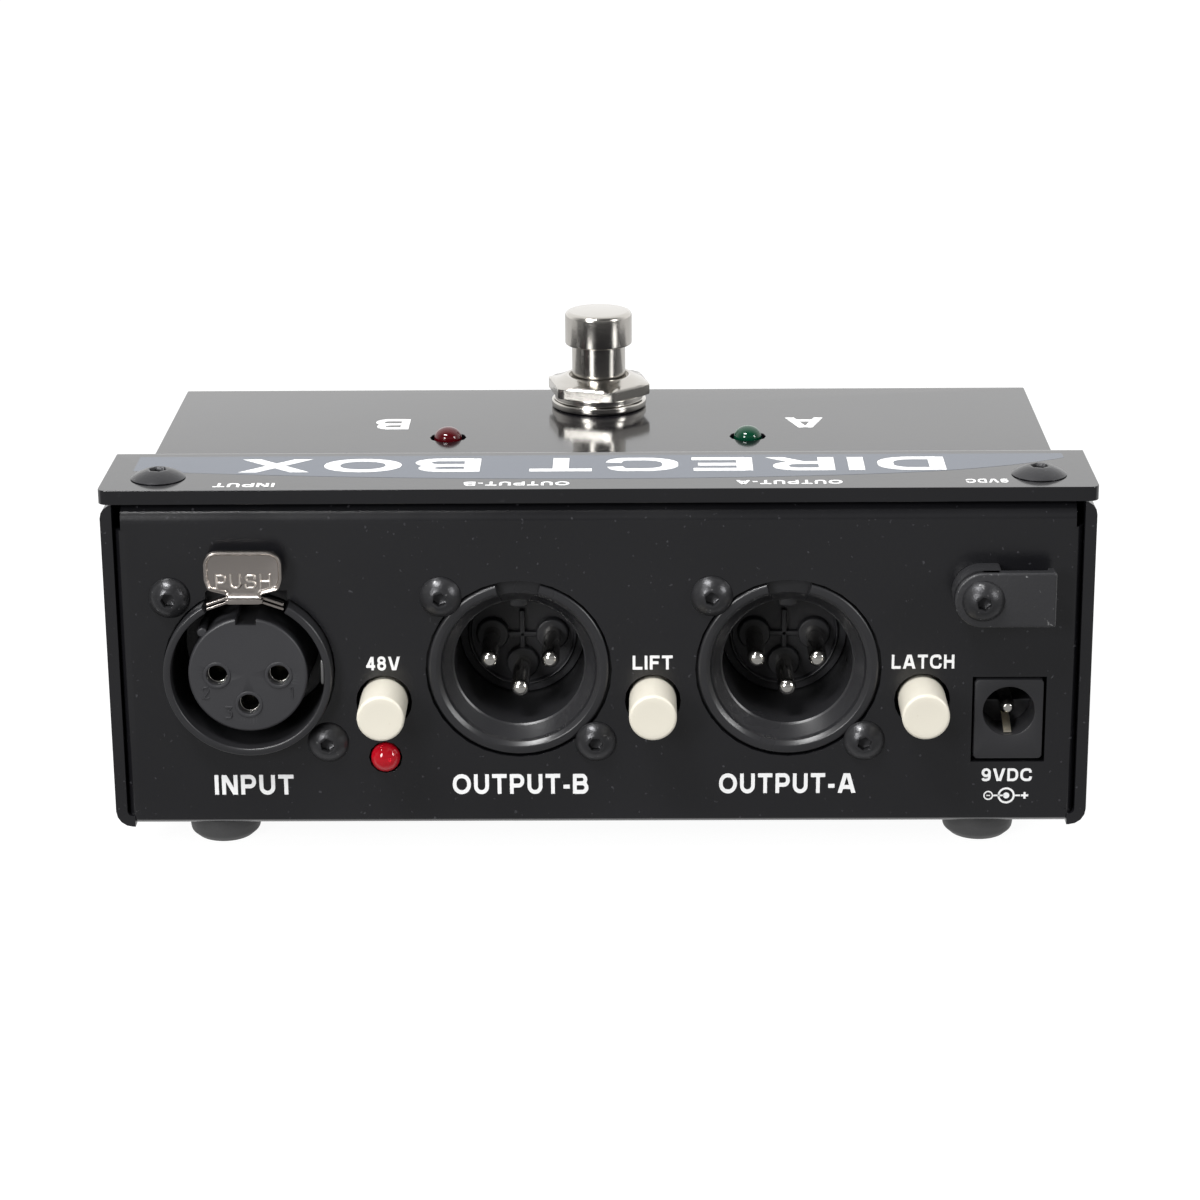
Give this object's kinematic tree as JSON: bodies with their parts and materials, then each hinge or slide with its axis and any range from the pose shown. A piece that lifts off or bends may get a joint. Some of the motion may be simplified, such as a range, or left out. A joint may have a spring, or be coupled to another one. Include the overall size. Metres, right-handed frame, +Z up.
{
  "type": "direct injection box",
  "caption": "Black steel stage box with a stepped top, an XLR input and outputs, push buttons, a power jack, LEDs and a chromed footswitch.",
  "frame": {"origin": "on the floor, under the middle of the bounding box", "axes": "connector panel faces -Y, footswitch end +Y, +X to the right when facing the connector panel, +Z up"},
  "size_m": [0.128, 0.0974, 0.0557],
  "materials": {
    "chassis_paint": "gloss black powder coat with a fine orange peel",
    "cover_paint": "gloss black powder coat with printed legends and a blue-grey band",
    "connector_plastic": "satin black glass-filled nylon",
    "insert_plastic": "matt black moulded plastic",
    "contact_metal": "polished silver plate",
    "latch_nickel": "satin nickel stamping",
    "spring_steel": "bright spring wire",
    "screw_black": "black oxide",
    "button_ivory": "ivory moulded plastic",
    "switch_plastic": "black moulded plastic",
    "red_lens": "clear red epoxy",
    "green_lens": "clear green epoxy",
    "jack_plastic": "satin black moulded plastic",
    "clamp_plastic": "grained black nylon",
    "switch_chrome": "bright chrome plate",
    "board_laminate": "green solder mask",
    "relay_plastic": "cream moulded plastic",
    "foot_rubber": "matt black rubber"
  },
  "bodies": {
    "case": {"base_chassis": "chassis_paint", "cable_clamp": "clamp_plastic", "cable_clamp_screw": "screw_black", "circuit_board": "board_laminate", "cover_screw_left": "screw_black", "cover_screw_right": "screw_black", "deck_led_a": "green_lens", "deck_led_b": "red_lens", "foot_front_left": "foot_rubber", "foot_front_right": "foot_rubber", "foot_rear_left": "foot_rubber", "foot_rear_right": "foot_rubber", "footswitch_body": "switch_plastic", "footswitch_bushing": "switch_chrome", "footswitch_nut": "switch_chrome", "footswitch_spring": "spring_steel", "footswitch_washer": "switch_chrome", "front_screw_left": "screw_black", "front_screw_right": "screw_black", "input_contact_1": "contact_metal", "input_contact_2": "contact_metal", "input_contact_3": "contact_metal", "input_insert": "insert_plastic", "input_latch_pin": "spring_steel", "input_screw_lower": "screw_black", "input_screw_upper": "screw_black", "input_shell": "connector_plastic", "latch_switch_body": "switch_plastic", "lift_switch_body": "switch_plastic", "output_a_insert": "insert_plastic", "output_a_pin_1": "contact_metal", "output_a_pin_2": "contact_metal", "output_a_pin_3": "contact_metal", "output_a_screw_lower": "screw_black", "output_a_screw_upper": "screw_black", "output_a_shell": "connector_plastic", "output_b_insert": "insert_plastic", "output_b_pin_1": "contact_metal", "output_b_pin_2": "contact_metal", "output_b_pin_3": "contact_metal", "output_b_screw_lower": "screw_black", "output_b_screw_upper": "screw_black", "output_b_shell": "connector_plastic", "phantom_led": "red_lens", "phantom_switch_body": "switch_plastic", "power_jack_body": "jack_plastic", "power_jack_contact": "contact_metal", "power_jack_pin": "contact_metal", "relay_a": "relay_plastic", "relay_b": "relay_plastic", "top_cover": "cover_paint"},
    "phantom_button": {"phantom_button_cap": "button_ivory", "phantom_button_stem": "switch_plastic"},
    "lift_button": {"lift_button_cap": "button_ivory", "lift_button_stem": "switch_plastic"},
    "latch_button": {"latch_button_cap": "button_ivory", "latch_button_stem": "switch_plastic"},
    "footswitch": {"footswitch_plunger": "switch_chrome"},
    "input_release": {"input_latch": "latch_nickel"}
  },
  "joints": [
    {"name": "phantom_press", "type": "slide", "parent": "case", "child": "phantom_button", "axis": [0, 1, 0], "range_m": [0, 0.003], "stiffness_N_per_m": 200, "springref_m": -0.002},
    {"name": "lift_press", "type": "slide", "parent": "case", "child": "lift_button", "axis": [0, 1, 0], "range_m": [0, 0.003], "stiffness_N_per_m": 200, "springref_m": -0.002},
    {"name": "latch_press", "type": "slide", "parent": "case", "child": "latch_button", "axis": [0, 1, 0], "range_m": [0, 0.003], "stiffness_N_per_m": 200, "springref_m": -0.002},
    {"name": "footswitch_press", "type": "slide", "parent": "case", "child": "footswitch", "axis": [0, 0, -1], "range_m": [0, 0.0035], "stiffness_N_per_m": 1500, "springref_m": -0.003, "deforming": ["footswitch_spring"]},
    {"name": "input_release_turn", "type": "hinge", "parent": "case", "child": "input_release", "pos_m": [-0.0454, -0.03305, 0.0363], "axis": [-1, 0, 0], "range_deg": [0, 8], "stiffness_Nm_per_rad": 0.02, "springref_deg": -17.19}
  ]
}
